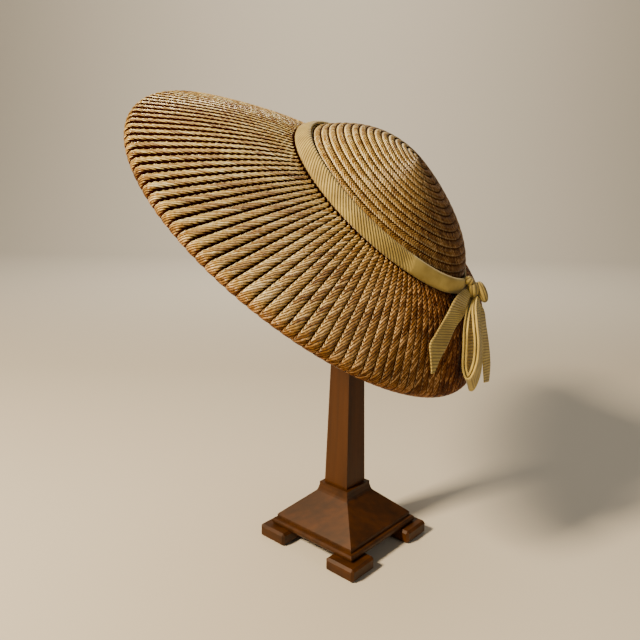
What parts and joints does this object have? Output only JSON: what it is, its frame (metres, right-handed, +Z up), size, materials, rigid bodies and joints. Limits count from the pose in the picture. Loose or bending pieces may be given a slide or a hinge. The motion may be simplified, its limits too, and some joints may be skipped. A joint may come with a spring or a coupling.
{
  "type": "poke bonnet on a hat stand",
  "caption": "Straw poke bonnet with a deep ribbed brim, a domed braid crown and a corded ribbon tied in a bow, tipped back on a plain square wooden hat stand.",
  "frame": {"origin": "middle of the whole outline, on the plane the stand's feet rest on", "axes": "+Z up; the bonnet's deep front brim points to -X and upwards, the bow hangs at +X on the -Y side"},
  "size_m": [0.3104, 0.3094, 0.42],
  "materials": {
    "plaited_straw": "semi-gloss",
    "corded_ribbon": "matte",
    "stained_wood": "satin"
  },
  "bodies": {
    "root": {"crown": "plaited_straw", "brim": "plaited_straw", "ribbon_band": "corded_ribbon", "bow_knot": "corded_ribbon", "bow_fold": "corded_ribbon", "bow_loop": "corded_ribbon", "bow_tail_near": "corded_ribbon", "bow_tail_far": "corded_ribbon", "stand_base": "stained_wood", "stand_foot_1": "stained_wood", "stand_foot_2": "stained_wood", "stand_foot_3": "stained_wood", "stand_foot_4": "stained_wood", "stand_post": "stained_wood", "stand_rest": "stained_wood"}
  },
  "joints": []
}
